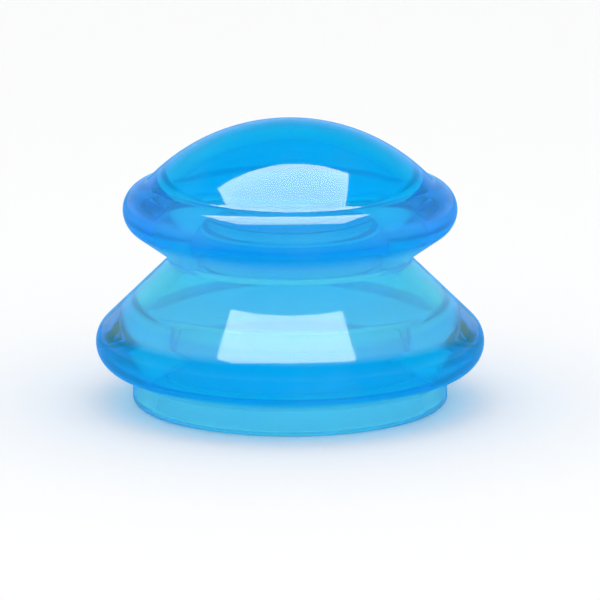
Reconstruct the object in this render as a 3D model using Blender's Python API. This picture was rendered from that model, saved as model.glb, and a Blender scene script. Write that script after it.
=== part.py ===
"""Silicone cupping cup: a soft round cup that is squeezed, set on the skin and let go.

The real cup is one moulding of translucent silicone, turned about a vertical axis. It is split
here at the rings where the moulding goes from a thick, stiff bead to a thin, flexing wall:
mouth_collar, lower_roll, skirt, neck, upper_roll and crown_dome, from the bench up. Flat, level
faces join them. The origin is the middle of the mouth, on the bench, with +Z up to the dome.
The neck, upper roll and dome go down together when a thumb presses the dome; the skirt folds.
"""

import math

import bmesh
import bpy
from mathutils import Matrix, Vector

MM = 0.001

# Outer radii, from the cup's own axis
MOUTH_R = 22.3 * MM  # straight collar round the mouth
LOWER_ROLL_R = 27.5 * MM  # widest part of the cup
NECK_R = 16.8 * MM  # bottom of the groove between the two rolls
UPPER_ROLL_R = 23.6 * MM
DOME_STEP = 3.2 * MM  # how far the upper roll stands out past the foot of the dome

# Heights, each counted from the one before it
COLLAR_RISE = 3.8 * MM  # bench to the crease under the lower roll
LOWER_ROLL_RISE = 4.95 * MM  # that crease to where the lower roll is widest
SKIRT_RISE = 12.2 * MM  # there to the groove
UPPER_ROLL_RISE = 6.75 * MM  # the groove to where the upper roll is widest
DOME_RISE = 8.9 * MM  # foot of the dome to its top

# Roundings
LOWER_EDGE = 4.05 * MM  # outer edge of the lower roll
UPPER_EDGE = 3.75 * MM  # outer edge of the upper roll
LIP_EDGE = 0.9 * MM  # both edges of the rim that lies on the skin
CREASE_FILLET = 0.7 * MM  # where a wall runs into the underside of a roll
CORE_FILLET = 2.0 * MM  # corners of the hollow inside

# Walls
COLLAR_WALL = 2.8 * MM
SKIRT_WALL = 2.4 * MM
NECK_WALL = 2.7 * MM
DOME_WALL = 2.5 * MM
CHAMBER_SPREAD = 1.4 * MM  # how much wider than the mouth the hollow is inside the lower roll
CHAMBER_STEP = 1.3 * MM  # how far the dome's hollow reaches below the foot of the dome

NECK_BAND = 2.8 * MM  # height of the band that turns as the cup folds

SEGMENTS = 64
FACET_DEPTH = 0.03 * MM  # how far a flat facet may lie under the true curve of an outline
WELD = 0.001 * MM  # points closer than this are one point
CREASE_ANGLE = math.radians(40)  # faces that meet more sharply than this show an edge
CARRIER_SIZE = 5 * MM

# Silicone rubber. The mould is polished for the dome and plainer down at the rim.
SILICONE_BLUE = (0.02, 0.36, 0.91, 1.0)
SILICONE_IOR = 1.41
SILICONE_CLEAR = 0.8  # share of the light that goes through
RIM_ROUGHNESS = 0.12
WALL_ROUGHNESS = 0.10
DOME_ROUGHNESS = 0.08

WIDE_Z = COLLAR_RISE + LOWER_ROLL_RISE
GROOVE_Z = WIDE_Z + SKIRT_RISE
UPPER_Z = GROOVE_Z + UPPER_ROLL_RISE


def clear_scene():
    for obj in list(bpy.data.objects):
        bpy.data.objects.remove(obj)


def silicone(name, roughness):
    """Translucent blue silicone with the polish that this zone of the mould leaves."""
    material = bpy.data.materials.new(name)
    material.use_nodes = True
    shader = material.node_tree.nodes["Principled BSDF"]
    shader.inputs["Base Color"].default_value = SILICONE_BLUE
    shader.inputs["Roughness"].default_value = roughness
    shader.inputs["Metallic"].default_value = 0.0
    shader.inputs["IOR"].default_value = SILICONE_IOR
    shader.inputs["Transmission Weight"].default_value = SILICONE_CLEAR
    material.diffuse_color = SILICONE_BLUE
    return material


def arc(centre, radius, start, end):
    """Points along an arc in the (radius, height) plane, both ends included."""
    steps = max(2, math.ceil(abs(end - start) / (2 * math.acos(1 - FACET_DEPTH / radius))))
    angles = [start + (end - start) * i / steps for i in range(steps + 1)]
    return [centre + radius * Vector((math.cos(a), math.sin(a))) for a in angles]


def touch_angle(point, centre, radius, turn):
    """Angle on a circle where a straight line from an outside point touches it."""
    away = point - centre
    return math.atan2(away.y, away.x) + turn * math.acos(radius / away.length)


def fillet(before, corner, after, radius):
    """The corner between two straight stretches, rounded by an arc."""
    back = (before - corner).normalized()
    on = (after - corner).normalized()
    half = back.angle(on) / 2
    reach = min(radius / math.tan(half), (before - corner).length / 2, (after - corner).length / 2)
    radius = reach * math.tan(half)
    centre = corner + (back + on).normalized() * radius / math.sin(half)
    first = corner + back * reach - centre
    last = corner + on * reach - centre
    start = math.atan2(first.y, first.x)
    turn = math.atan2(first.x * last.y - first.y * last.x, first.dot(last))
    return arc(centre, radius, start, start + turn)


def fillet_to_ball(start, corner, radius, ball, ball_r):
    """The corner where a straight floor meets the inside of a ball, rounded by an arc."""
    along = (corner - start).normalized()
    offset = start + Vector((-along.y, along.x)) * radius - ball
    half_turn = offset.dot(along)
    reach = -half_turn + math.sqrt(half_turn**2 - offset.length_squared + (ball_r - radius) ** 2)
    centre = ball + offset + along * reach
    floor_angle = math.atan2(along.x, -along.y) - math.pi
    away = centre - ball
    return arc(centre, radius, floor_angle, math.atan2(away.y, away.x))


def roll_centre(roll_r, edge, height):
    return Vector((roll_r - edge, height))


def roll_edge(roll_r, edge, height, below, above):
    """The rounded edge of a roll, between the straight faces that come from two creases."""
    centre = roll_centre(roll_r, edge, height)
    return arc(centre, edge, touch_angle(below, centre, edge, 1), touch_angle(above, centre, edge, -1))


def skirt_slope():
    """Direction square to the skirt's outer face, as an angle in the (radius, height) plane."""
    groove = Vector((NECK_R, GROOVE_Z))
    return touch_angle(groove, roll_centre(LOWER_ROLL_R, LOWER_EDGE, WIDE_Z), LOWER_EDGE, -1)


def dome_foot():
    """The crease where the dome rises out of the top of the upper roll."""
    centre = roll_centre(UPPER_ROLL_R, UPPER_EDGE, UPPER_Z)
    across = UPPER_ROLL_R - DOME_STEP - centre.x
    return Vector((UPPER_ROLL_R - DOME_STEP, UPPER_Z + math.sqrt(UPPER_EDGE**2 - across**2)))


def dome_sphere():
    """Centre and outer radius of the ball that the dome is the top of."""
    foot = dome_foot()
    radius = (foot.x**2 + DOME_RISE**2) / (2 * DOME_RISE)
    return Vector((0.0, foot.y + DOME_RISE - radius)), radius


def outer_outline():
    """The outside of the cup as (radius, height) points, from the rim up to the dome's top."""
    rim = Vector((MOUTH_R, 0.0))
    crease = Vector((MOUTH_R, COLLAR_RISE))
    groove = Vector((NECK_R, GROOVE_Z))
    foot = dome_foot()
    lower = roll_edge(LOWER_ROLL_R, LOWER_EDGE, WIDE_Z, crease, groove)
    upper_centre = roll_centre(UPPER_ROLL_R, UPPER_EDGE, UPPER_Z)
    foot_angle = math.atan2(foot.y - UPPER_Z, foot.x - upper_centre.x)
    groove_angle = touch_angle(groove, upper_centre, UPPER_EDGE, 1)
    upper = arc(upper_centre, UPPER_EDGE, groove_angle, foot_angle)
    ball, ball_r = dome_sphere()
    dome = arc(ball, ball_r, math.atan2(foot.y - ball.y, foot.x), math.pi / 2)
    lip_centre = Vector((MOUTH_R - LIP_EDGE, LIP_EDGE))
    lip = arc(lip_centre, LIP_EDGE, -math.pi / 2, 0.0)
    lower_crease = fillet(rim, crease, lower[0], CREASE_FILLET)
    upper_crease = fillet(lower[-1], groove, upper[0], CREASE_FILLET)
    return without_repeats(lip + lower_crease + lower + upper_crease + upper + dome)


def inner_outline():
    """The hollow of the cup as (radius, height) points, from the rim up to the dome's underside."""
    mouth_bore = MOUTH_R - COLLAR_WALL
    neck_bore = NECK_R - NECK_WALL
    chamber = mouth_bore + CHAMBER_SPREAD
    groove = Vector((NECK_R, GROOVE_Z))
    slope = skirt_slope()
    inward = -Vector((math.cos(slope), math.sin(slope)))
    up_slope = Vector((inward.y, -inward.x))

    def on_slope(radius):
        """The point of the skirt's inner face at this radius."""
        start = groove + inward * SKIRT_WALL
        return start + up_slope * (radius - start.x) / up_slope.x

    ball, dome_r = dome_sphere()
    ball_r = dome_r - DOME_WALL
    floor_z = dome_foot().y - CHAMBER_STEP
    floor = Vector((math.sqrt(ball_r**2 - (floor_z - ball.y) ** 2), floor_z))
    corners = [
        Vector((mouth_bore, LIP_EDGE)),
        Vector((mouth_bore, COLLAR_RISE)),
        Vector((chamber, WIDE_Z)),
        on_slope(chamber),
        on_slope(neck_bore),
        Vector((neck_bore, UPPER_Z)),
        floor,
    ]
    lip_centre = Vector((mouth_bore + LIP_EDGE, LIP_EDGE))
    outline = arc(lip_centre, LIP_EDGE, -math.pi / 2, -math.pi)
    for before, corner, after in zip(corners, corners[1:], corners[2:]):
        outline += fillet(before, corner, after, CORE_FILLET)
    outline += fillet_to_ball(corners[-2], floor, CORE_FILLET, ball, ball_r)
    wall_foot = outline[-1] - ball
    return without_repeats(outline + arc(ball, ball_r, math.atan2(wall_foot.y, wall_foot.x), math.pi / 2))


def without_repeats(outline):
    """The outline without the points that two joined arcs share."""
    kept = outline[:1]
    for point in outline[1:]:
        if (point - kept[-1]).length > WELD:
            kept.append(point)
    return kept


def at_height(outline, height):
    """The point of a rising outline at this height, or its top if that is lower."""
    for a, b in zip(outline, outline[1:]):
        if a.y <= height <= b.y:
            return a.lerp(b, (height - a.y) / (b.y - a.y))
    return outline[-1]


def between(outline, low, high):
    """The stretch of a rising outline between two heights, with a point exactly at each."""
    inside = [point for point in outline if low + WELD < point.y < high - WELD]
    return without_repeats([at_height(outline, low), *inside, at_height(outline, high)])


def turned_mesh(name, outside, inside, base):
    """A ring or a cap: its section, spun once round the cup's axis and closed."""
    section = [*outside, *reversed(inside)]
    form = bmesh.new()
    verts = [form.verts.new((max(point.x, 0.0), 0.0, point.y - base)) for point in section]
    around = zip(verts, [*verts[1:], verts[0]])
    edges = [form.edges.new((a, b)) for a, b in around if max(a.co.x, b.co.x) > WELD]
    bmesh.ops.spin(
        form,
        geom=[*verts, *edges],
        cent=(0.0, 0.0, 0.0),
        axis=(0.0, 0.0, 1.0),
        angle=math.tau,
        steps=SEGMENTS,
        use_merge=True,
    )
    bmesh.ops.remove_doubles(form, verts=form.verts, dist=WELD)
    bmesh.ops.recalc_face_normals(form, faces=form.faces)
    mesh = bpy.data.meshes.new(name)
    form.to_mesh(mesh)
    form.free()
    mesh.shade_smooth()
    mesh.set_sharp_from_angle(angle=CREASE_ANGLE)
    return mesh


def add_zone(name, outer, inner, low, high, roughness, carrier):
    """One zone of the moulding between two heights, standing on its own lower face."""
    mesh = turned_mesh(name, between(outer, low, high), between(inner, low, high), low)
    mesh.materials.append(silicone(name, roughness))
    zone = bpy.data.objects.new(name, mesh)
    bpy.context.collection.objects.link(zone)
    zone.parent = carrier
    zone.matrix_local = Matrix.Translation((0.0, 0.0, low - carrier.location.z))


def add_carrier(name, height):
    """An empty on the cup's axis that carries the zones of one moving body."""
    carrier = bpy.data.objects.new(name, None)
    carrier.empty_display_size = CARRIER_SIZE
    carrier.location = (0.0, 0.0, height)
    bpy.context.collection.objects.link(carrier)
    return carrier


def main():
    clear_scene()
    outer = outer_outline()
    inner = inner_outline()
    skirt_z = WIDE_Z + LOWER_EDGE * math.sin(skirt_slope())
    neck_z = GROOVE_Z - NECK_BAND / 2
    roll_z = GROOVE_Z + NECK_BAND / 2
    top = outer[-1].y

    mouth = add_carrier("mouth_frame", 0.0)
    crown = add_carrier("crown_press_axis", GROOVE_Z)
    add_zone("mouth_collar", outer, inner, 0.0, COLLAR_RISE, RIM_ROUGHNESS, mouth)
    add_zone("lower_roll", outer, inner, COLLAR_RISE, skirt_z, WALL_ROUGHNESS, mouth)
    add_zone("skirt", outer, inner, skirt_z, neck_z, WALL_ROUGHNESS, mouth)
    add_zone("neck", outer, inner, neck_z, roll_z, WALL_ROUGHNESS, crown)
    add_zone("upper_roll", outer, inner, roll_z, dome_foot().y, WALL_ROUGHNESS, crown)
    add_zone("crown_dome", outer, inner, dome_foot().y, top, DOME_ROUGHNESS, crown)


main()
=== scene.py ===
import math

import bmesh
import bpy
from mathutils import Matrix, Vector


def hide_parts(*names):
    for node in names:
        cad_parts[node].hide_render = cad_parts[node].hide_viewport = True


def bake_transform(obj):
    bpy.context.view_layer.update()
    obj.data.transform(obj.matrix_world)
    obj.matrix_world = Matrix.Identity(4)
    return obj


MM = 0.001

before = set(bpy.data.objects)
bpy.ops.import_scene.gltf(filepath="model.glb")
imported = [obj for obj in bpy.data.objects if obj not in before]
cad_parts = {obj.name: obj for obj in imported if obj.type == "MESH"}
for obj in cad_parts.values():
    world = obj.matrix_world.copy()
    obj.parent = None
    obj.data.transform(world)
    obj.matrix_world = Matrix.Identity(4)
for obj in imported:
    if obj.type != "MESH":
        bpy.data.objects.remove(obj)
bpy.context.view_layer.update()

# Camera: a long lens in front of the cup, looking a little down on it, so that both the dome
# and the front of the rim on the bench are seen. The cup stands just left of the middle.
CAMERA_DISTANCE = 800 * MM
CAMERA_ELEVATION = math.radians(12.6)
CAMERA_AIM = Vector((1.4, 0.0, 14.5)) * MM
PICTURE_WIDTH = 84.9 * MM  # width of what the lens takes in at the cup
SENSOR_WIDTH = 36.0
CLIP_NEAR = 10 * MM
CLIP_FAR = 20.0

camera = bpy.data.objects.new("camera", bpy.data.cameras.new("camera"))
bpy.context.collection.objects.link(camera)
camera.data.sensor_width = SENSOR_WIDTH
camera.data.lens = SENSOR_WIDTH * CAMERA_DISTANCE / PICTURE_WIDTH
camera.data.clip_start = CLIP_NEAR
camera.data.clip_end = CLIP_FAR
to_camera = Vector((0.0, -math.cos(CAMERA_ELEVATION), math.sin(CAMERA_ELEVATION)))
camera.location = CAMERA_AIM + to_camera * CAMERA_DISTANCE
camera.rotation_euler = to_camera.to_track_quat("Z", "Y").to_euler()
bpy.context.scene.camera = camera
bpy.context.scene.view_settings.view_transform = "Standard"

# Clear rubber needs light to go through many surfaces, and to bounce inside the thick rolls.
CLEAR_BOUNCES = 64
CLOUDY_BOUNCES = 24
bpy.context.scene.cycles.max_bounces = CLEAR_BOUNCES
bpy.context.scene.cycles.transmission_bounces = CLEAR_BOUNCES
bpy.context.scene.cycles.glossy_bounces = CLEAR_BOUNCES
bpy.context.scene.cycles.diffuse_bounces = CLOUDY_BOUNCES

# Cup, outside: one compression moulding of blue silicone rubber, a turned body. A straight
# collar lies on the skin, a thick roll is the widest part, a cone folds under it, and a
# second roll carries the dome. The two rolls have round edges and the creases small fillets.
COLLAR_R = 22.3 * MM
LOWER_ROLL_R = 27.5 * MM
NECK_R = 16.8 * MM
UPPER_ROLL_R = 23.6 * MM
DOME_STEP = 3.2 * MM  # how far the upper roll stands out past the foot of the dome
COLLAR_Z = 3.8 * MM
LOWER_ROLL_Z = 8.75 * MM
GROOVE_Z = 20.95 * MM
UPPER_ROLL_Z = 27.7 * MM
DOME_RISE = 8.9 * MM
LOWER_EDGE = 4.05 * MM
UPPER_EDGE = 3.75 * MM
LIP_EDGE = 0.9 * MM
CREASE_FILLET = 0.7 * MM
FACET = 0.002 * MM  # how far a facet of the section may lie under the true curve
FEWEST_STEPS = 3

section = bmesh.new()


def direction(angle):
    return Vector((math.cos(angle), math.sin(angle)))


def angle_of(way):
    return math.atan2(way.y, way.x)


def line_to(end, point):
    """The outline's open end, extruded straight to a (radius, height) point."""
    (tip,) = bmesh.ops.extrude_vert_indiv(section, verts=[end])["verts"]
    tip.co = (max(point.x, 0.0), 0.0, point.y)
    return tip


def turn_about(end, centre, angle):
    """The outline's open end, spun about a centre so that it leaves an arc."""
    radius = (Vector((end.co.x, end.co.z)) - centre).length
    finest = 2 * math.acos(1 - FACET / radius)
    made = bmesh.ops.spin(
        section,
        geom=[end],
        cent=(centre.x, 0.0, centre.y),
        axis=(0.0, -1.0, 0.0),
        angle=angle,
        steps=max(FEWEST_STEPS, math.ceil(abs(angle) / finest)),
        use_merge=False,
    )
    return next(item for item in made["geom_last"] if isinstance(item, bmesh.types.BMVert))


def fillet(end, corner, after, radius):
    """The outline's open end, taken to a corner and rounded towards the next point."""
    back_way = (Vector((end.co.x, end.co.z)) - corner).normalized()
    on_way = (after - corner).normalized()
    half = back_way.angle(on_way) / 2
    centre = corner + (back_way + on_way).normalized() * radius / math.sin(half)
    first = corner + back_way * radius / math.tan(half)
    last = corner + on_way * radius / math.tan(half)
    turn = math.atan2((first - centre).cross(last - centre), (first - centre).dot(last - centre))
    return turn_about(line_to(end, first), centre, turn)


def touch_angle(point, centre, radius, side):
    """Angle on a circle where a straight line from an outside point touches it."""
    away = point - centre
    return angle_of(away) + side * math.acos(radius / away.length)


crease = Vector((COLLAR_R, COLLAR_Z))
groove = Vector((NECK_R, GROOVE_Z))
lower_centre = Vector((LOWER_ROLL_R - LOWER_EDGE, LOWER_ROLL_Z))
upper_centre = Vector((UPPER_ROLL_R - UPPER_EDGE, UPPER_ROLL_Z))
under_lower = touch_angle(crease, lower_centre, LOWER_EDGE, 1)
skirt_slope = touch_angle(groove, lower_centre, LOWER_EDGE, -1)
under_upper = touch_angle(groove, upper_centre, UPPER_EDGE, 1)
foot_over = UPPER_EDGE - DOME_STEP
foot = upper_centre + Vector((foot_over, math.sqrt(UPPER_EDGE**2 - foot_over**2)))
dome_r = (foot.x**2 + DOME_RISE**2) / (2 * DOME_RISE)
dome_centre = Vector((0.0, foot.y + DOME_RISE - dome_r))

rim = section.verts.new((COLLAR_R - LIP_EDGE, 0.0, 0.0))
end = turn_about(rim, Vector((COLLAR_R - LIP_EDGE, LIP_EDGE)), math.pi / 2)
lower_start = lower_centre + LOWER_EDGE * direction(under_lower)
end = line_to(fillet(end, crease, lower_start, CREASE_FILLET), lower_start)
end = turn_about(end, lower_centre, skirt_slope - under_lower)
upper_start = upper_centre + UPPER_EDGE * direction(under_upper)
end = line_to(fillet(end, groove, upper_start, CREASE_FILLET), upper_start)
end = turn_about(end, upper_centre, angle_of(foot - upper_centre) - under_upper)
turn_about(end, dome_centre, math.pi / 2 - angle_of(foot - dome_centre))

# Cup, inside: the hollow that a steel core leaves. It widens in the lower roll, narrows to a
# throat at the waist and widens again under the dome, with round corners so that it washes clean.
COLLAR_WALL = 2.8 * MM
SKIRT_WALL = 2.4 * MM
NECK_WALL = 2.7 * MM
DOME_WALL = 2.5 * MM
CORE_FILLET = 2.0 * MM
CHAMBER_SPREAD = 1.4 * MM  # how much wider than the mouth the hollow is inside the lower roll
CHAMBER_STEP = 1.3 * MM  # how far the dome's hollow reaches below the foot of the dome

bore_r = COLLAR_R - COLLAR_WALL
chamber_r = bore_r + CHAMBER_SPREAD
throat_r = NECK_R - NECK_WALL
hollow_r = dome_r - DOME_WALL
floor_z = foot.y - CHAMBER_STEP
hollow_floor = Vector((math.sqrt(hollow_r**2 - (floor_z - dome_centre.y) ** 2), floor_z))
throat_top = Vector((throat_r, UPPER_ROLL_Z))


def under_skirt(radius):
    """The point of the skirt's inner face at this radius."""
    start = groove - SKIRT_WALL * direction(skirt_slope)
    down = direction(skirt_slope - math.pi / 2)
    return start + down * (radius - start.x) / down.x


inner_rim = section.verts.new((bore_r + LIP_EDGE, 0.0, 0.0))
section.edges.new((inner_rim, rim))
end = turn_about(inner_rim, Vector((bore_r + LIP_EDGE, LIP_EDGE)), -math.pi / 2)
corners = [
    Vector((bore_r, COLLAR_Z)),
    Vector((chamber_r, LOWER_ROLL_Z)),
    under_skirt(chamber_r),
    under_skirt(throat_r),
    throat_top,
    hollow_floor,
]
for corner, after in zip(corners, corners[1:]):
    end = fillet(end, corner, after, CORE_FILLET)

# The last corner lies between the hollow's sloping floor and the underside of the dome.
along = (hollow_floor - throat_top).normalized()
raised = throat_top + Vector((-along.y, along.x)) * CORE_FILLET - dome_centre
half_way = raised.dot(along)
reach = math.sqrt(half_way**2 - raised.length_squared + (hollow_r - CORE_FILLET) ** 2) - half_way
corner_centre = dome_centre + raised + along * reach
floor_angle = math.atan2(along.x, -along.y) - math.pi
wall_angle = angle_of(corner_centre - dome_centre)
end = line_to(end, corner_centre + CORE_FILLET * direction(floor_angle))
end = turn_about(end, corner_centre, wall_angle - floor_angle)
turn_about(end, dome_centre, math.pi / 2 - wall_angle)

# The section is spun once round the cup's axis. The creases stay sharp, all else is smooth.
TURN_STEPS = 256
WELD = 0.001 * MM
CREASE_ANGLE = math.radians(40)

bmesh.ops.spin(
    section,
    geom=[*section.verts, *section.edges],
    cent=(0.0, 0.0, 0.0),
    axis=(0.0, 0.0, 1.0),
    angle=math.tau,
    steps=TURN_STEPS,
    use_merge=True,
)
bmesh.ops.remove_doubles(section, verts=section.verts, dist=WELD)
bmesh.ops.recalc_face_normals(section, faces=section.faces)
cup_mesh = bpy.data.meshes.new("cup_moulding")
section.to_mesh(cup_mesh)
section.free()
cup_mesh.shade_smooth()
cup_mesh.set_sharp_from_angle(angle=CREASE_ANGLE)
cup = bpy.data.objects.new("cup_moulding", cup_mesh)
bpy.context.collection.objects.link(cup)

# Silicone rubber, moulded in a polished steel tool: clear with a blue dye and a trace of milk.
# Dye in the rubber deepens with the path of the light. On top of that, the colour is painted
# paler in bands by height: a painted pale sheen on the collar and skirt, and a painted lighter
# band on top of the upper roll, with the rolls between left azure. The skin is glossy, with the
# faint waves of a soft moulding.
DEEP_BLUE = "#10daff"
PALE_BLUE = "#a4fcff"
DYE_COLOUR = (0.0, 0.87, 1.0, 1.0)
DYE_DENSITY = 230.0  # per metre
SILICONE_IOR = 1.37
CLEAR_SHARE = 0.76  # the rest is milk
SMOOTH_SKIN = 0.03
DULL_SKIN = 0.08
WAVE_LENGTH = 7 * MM
WAVE_DEPTH = 0.02 * MM
CLOUD_SIZE = 9 * MM
CLOUD_SHARE = 0.08  # how much paler or deeper the dye is in a cloud
HANDLING_MARKS = 2.5 * MM
RAMP_HEIGHT = 40.0  # mm, the top of the colour ramp
PAINTED_LIGHT_BANDS = (  # height in mm, and how pale the colour is painted there: painted sheen and painted lighter bands
    (0.0, 1.0),
    (4.0, 1.0),
    (5.0, 0.0),
    (11.0, 0.0),
    (12.0, 1.0),
    (23.0, 1.0),
    (24.5, 0.0),
    (26.0, 0.0),
    (28.0, 0.3),
    (31.0, 0.3),
    (32.5, 0.0),
)


def linear(code):
    """An sRGB hex colour as the linear colour that shaders take."""
    parts = [int(code[i : i + 2], 16) / 255 for i in (1, 3, 5)]
    return (*(c / 12.92 if c <= 0.04045 else ((c + 0.055) / 1.055) ** 2.4 for c in parts), 1.0)


def add_node(tree, kind, settings=None, **links):
    """A node with its settings, by socket or property name, and what is linked into it."""
    node = tree.nodes.new(kind)
    for name, value in (settings or {}).items():
        if hasattr(node, name):
            setattr(node, name, value)
        else:
            node.inputs[name].default_value = value
    for name, source in links.items():
        tree.links.new(source, node.inputs[name.replace("_", " ")])
    return node


def fill_ramp(node, stops):
    """A colour ramp's stops, from its low end; a new ramp has two stops already."""
    elements = node.color_ramp.elements
    for i, (level, colour) in enumerate(stops):
        stop = elements[i] if i < 2 else elements.new(level)
        stop.position = level
        stop.color = (*colour, 1.0)


def mix_colours(tree, share, low, high):
    """Two hex colours mixed by a share. The sockets go by number: 6 and 7 in, 2 out."""
    node = add_node(tree, "ShaderNodeMix", {"data_type": "RGBA"})
    node.inputs[6].default_value = linear(low)
    node.inputs[7].default_value = linear(high)
    tree.links.new(share, node.inputs[0])
    return node.outputs[2]


silicone = bpy.data.materials.new("silicone_rubber_blue")
silicone.use_nodes = True
tree = silicone.node_tree
tree.nodes.clear()
place = add_node(tree, "ShaderNodeTexCoord").outputs["Object"]
height = add_node(tree, "ShaderNodeSeparateXYZ", Vector=place).outputs["Z"]
share = add_node(
    tree,
    "ShaderNodeMapRange",
    {"From Min": 0.0, "From Max": RAMP_HEIGHT * MM, "clamp": True},
    Value=height,
).outputs["Result"]
# Painted light: the base colour turns paler in bands by height. This is a painted sheen on the
# collar and skirt and a painted lighter band on the upper roll.
painted_light_ramp = add_node(tree, "ShaderNodeValToRGB", Fac=share)
fill_ramp(painted_light_ramp, [(level / RAMP_HEIGHT, (amount,) * 3) for level, amount in PAINTED_LIGHT_BANDS])
clouds = add_node(
    tree,
    "ShaderNodeTexNoise",
    {"Scale": 1 / CLOUD_SIZE, "Detail": 2.0, "Roughness": 0.5},
    Vector=place,
)
cloudy = add_node(
    tree,
    "ShaderNodeMapRange",
    {"From Min": 0.3, "From Max": 0.7, "To Min": -CLOUD_SHARE, "To Max": CLOUD_SHARE},
    Value=clouds.outputs["Fac"],
)
paleness = add_node(tree, "ShaderNodeMath", {"operation": "ADD", "use_clamp": True})
tree.links.new(painted_light_ramp.outputs["Color"], paleness.inputs[0])
tree.links.new(cloudy.outputs["Result"], paleness.inputs[1])
tint = mix_colours(tree, paleness.outputs["Value"], DEEP_BLUE, PALE_BLUE)
marks = add_node(
    tree,
    "ShaderNodeTexNoise",
    {"Scale": 1 / HANDLING_MARKS, "Detail": 3.0, "Roughness": 0.6},
    Vector=place,
)
skin = add_node(
    tree,
    "ShaderNodeMapRange",
    {"From Min": 0.35, "From Max": 0.75, "To Min": SMOOTH_SKIN, "To Max": DULL_SKIN},
    Value=marks.outputs["Fac"],
)
waves = add_node(
    tree,
    "ShaderNodeTexNoise",
    {"Scale": 1 / WAVE_LENGTH, "Detail": 1.0, "Roughness": 0.4},
    Vector=place,
)
bump = add_node(
    tree,
    "ShaderNodeBump",
    {"Strength": 1.0, "Distance": WAVE_DEPTH},
    Height=waves.outputs["Fac"],
)
shader = add_node(
    tree,
    "ShaderNodeBsdfPrincipled",
    {"IOR": SILICONE_IOR, "Transmission Weight": CLEAR_SHARE},
    Base_Color=tint,
    Roughness=skin.outputs["Result"],
    Normal=bump.outputs["Normal"],
)
dye = add_node(
    tree,
    "ShaderNodeVolumeAbsorption",
    {"Color": DYE_COLOUR, "Density": DYE_DENSITY},
)
add_node(
    tree,
    "ShaderNodeOutputMaterial",
    Surface=shader.outputs["BSDF"],
    Volume=dye.outputs["Volume"],
)
cup_mesh.materials.append(silicone)

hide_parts("mouth_collar", "lower_roll", "skirt", "neck", "upper_roll", "crown_dome")
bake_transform(cup)

# Floor: matt white paper that runs far past the picture. Seen in the gloss of the cup it is
# blue, as if blue cards lay round the cup just outside the picture.
PAPER_WHITE = "#fefefe"
PAPER_IN_GLOSS = "#40b0ff"
PAPER_HALF_WIDTH = 4.0
PAPER_ROUGHNESS = 0.9


def seen_in_gloss(tree):
    """One for a ray mirrored off a surface, nought for one that comes through it."""
    path = add_node(tree, "ShaderNodeLightPath")
    node = add_node(tree, "ShaderNodeMath", {"operation": "SUBTRACT", "use_clamp": True})
    tree.links.new(path.outputs["Is Glossy Ray"], node.inputs[0])
    tree.links.new(path.outputs["Is Transmission Ray"], node.inputs[1])
    return node.outputs["Value"]


paper = bpy.data.materials.new("matt_paper_white")
paper.use_nodes = True
tree = paper.node_tree
tree.nodes.clear()
paper_face = add_node(
    tree,
    "ShaderNodeBsdfPrincipled",
    {"Roughness": PAPER_ROUGHNESS},
    Base_Color=mix_colours(tree, seen_in_gloss(tree), PAPER_WHITE, PAPER_IN_GLOSS),
)
add_node(tree, "ShaderNodeOutputMaterial", Surface=paper_face.outputs["BSDF"])

sheet = bmesh.new()
bmesh.ops.create_grid(sheet, x_segments=1, y_segments=1, size=PAPER_HALF_WIDTH)
floor_mesh = bpy.data.meshes.new("studio_floor")
sheet.to_mesh(floor_mesh)
sheet.free()
floor_mesh.materials.append(paper)
floor = bpy.data.objects.new("studio_floor", floor_mesh)
bpy.context.collection.objects.link(floor)

# Softbox: a cloth-fronted lamp hung flat over the cup, turned a little. It is there for the
# two soft-edged panes of light on the dome and the skirt; its rim glows a little more.
SOFTBOX_SIZE = (245 * MM, 165 * MM)
SOFTBOX_CENTRE = (-10 * MM, -18 * MM, 250 * MM)
SOFTBOX_TURN = math.radians(6)
SOFTBOX_RIM = 9 * MM
HALF_METRE = 0.5  # a grid of this size is one metre across
CLOTH_GLOW = 12.0
RIM_GLOW = 15.5

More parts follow.
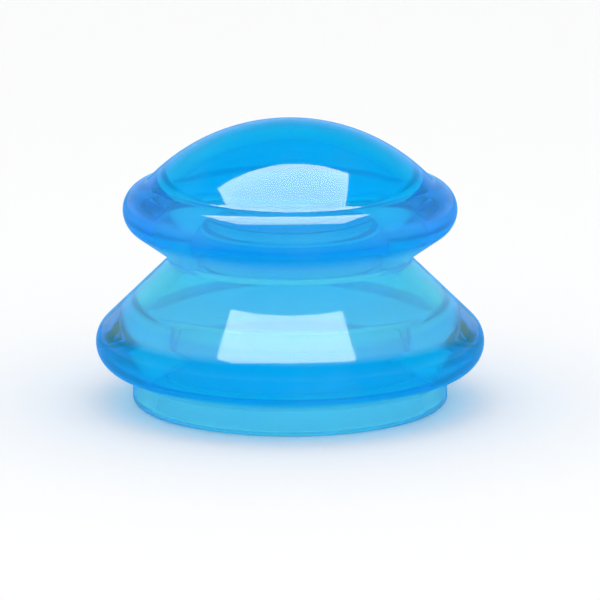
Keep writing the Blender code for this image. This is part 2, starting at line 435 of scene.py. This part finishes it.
cloth = bmesh.new()
bmesh.ops.create_grid(cloth, x_segments=1, y_segments=1, size=HALF_METRE)
bmesh.ops.scale(cloth, vec=(*SOFTBOX_SIZE, 1.0), verts=cloth.verts)
bmesh.ops.inset_region(cloth, faces=cloth.faces, thickness=SOFTBOX_RIM, use_even_offset=True)
for face in cloth.faces:
    face.material_index = 0 if face.calc_center_median().length < SOFTBOX_RIM else 1
bmesh.ops.rotate(cloth, matrix=Matrix.Rotation(SOFTBOX_TURN, 3, "Z"), verts=cloth.verts)
bmesh.ops.translate(cloth, vec=SOFTBOX_CENTRE, verts=cloth.verts)
softbox_mesh = bpy.data.meshes.new("softbox")
cloth.to_mesh(softbox_mesh)
cloth.free()
for name, strength in (("softbox_cloth", CLOTH_GLOW), ("softbox_rim", RIM_GLOW)):
    glow = bpy.data.materials.new(name)
    glow.use_nodes = True
    glow.node_tree.nodes.clear()
    lamp = add_node(glow.node_tree, "ShaderNodeEmission", {"Strength": strength})
    add_node(glow.node_tree, "ShaderNodeOutputMaterial", Surface=lamp.outputs["Emission"])
    softbox_mesh.materials.append(glow)
softbox = bpy.data.objects.new("softbox", softbox_mesh)
bpy.context.collection.objects.link(softbox)
softbox.visible_camera = False
softbox.visible_diffuse = False
softbox.visible_transmission = False
softbox.visible_shadow = False

# Surroundings: an even white room. Seen in the gloss of the cup it is pale blue at the level
# of the horizon, dark higher up, and bright again right overhead, behind the softbox.
ROOM_STOPS = (  # how far up the room, and its colour there
    (0.0, (0.40, 0.62, 1.0)),
    (0.12, (0.34, 0.52, 0.9)),
    (0.35, (0.10, 0.14, 0.25)),
    (0.55, (0.02, 0.03, 0.05)),
    (0.93, (0.02, 0.03, 0.05)),
    (0.95, (3.0, 3.0, 3.0)),
)

world = bpy.data.worlds.new("studio")
bpy.context.scene.world = world
world.use_nodes = True
tree = world.node_tree
tree.nodes.clear()
way = add_node(tree, "ShaderNodeTexCoord")
split = add_node(tree, "ShaderNodeSeparateXYZ", Vector=way.outputs["Generated"])
ramp = add_node(tree, "ShaderNodeValToRGB", Fac=split.outputs["Z"])
fill_ramp(ramp, ROOM_STOPS)
plain = add_node(tree, "ShaderNodeBackground", {"Color": (1.0, 1.0, 1.0, 1.0), "Strength": 1.0})
room = add_node(tree, "ShaderNodeBackground", {"Strength": 1.0}, Color=ramp.outputs["Color"])
either = add_node(tree, "ShaderNodeMixShader", Fac=seen_in_gloss(tree))
tree.links.new(plain.outputs["Background"], either.inputs[1])
tree.links.new(room.outputs["Background"], either.inputs[2])
add_node(tree, "ShaderNodeOutputWorld", Surface=either.outputs["Shader"])
